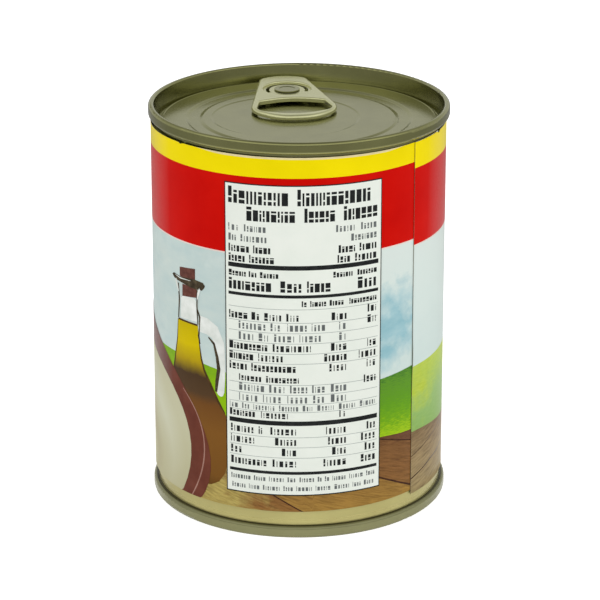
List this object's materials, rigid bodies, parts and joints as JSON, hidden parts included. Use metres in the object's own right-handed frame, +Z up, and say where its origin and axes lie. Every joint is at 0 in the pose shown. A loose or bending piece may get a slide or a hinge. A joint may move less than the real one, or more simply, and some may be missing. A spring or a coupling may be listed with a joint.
{
  "type": "ring-pull food can",
  "caption": "Upright round tinplate food can with rolled rims, a ring-pull end and a wrapped paper label, shut and full.",
  "frame": {"origin": "centre of the ring that the can stands on, at floor level", "axes": "+Z up along the can's axis, -Y through the middle of the label's printed panel, +X to the right seen from there"},
  "size_m": [0.076, 0.076, 0.1032],
  "materials": {
    "lacquered_tin": "satin",
    "tab_metal": "satin",
    "label_paper": "gloss"
  },
  "bodies": {
    "root": {"can_body": "lacquered_tin", "top_end": "lacquered_tin", "bottom_end": "lacquered_tin", "pull_tab": "tab_metal", "paper_label": "label_paper"}
  },
  "joints": []
}
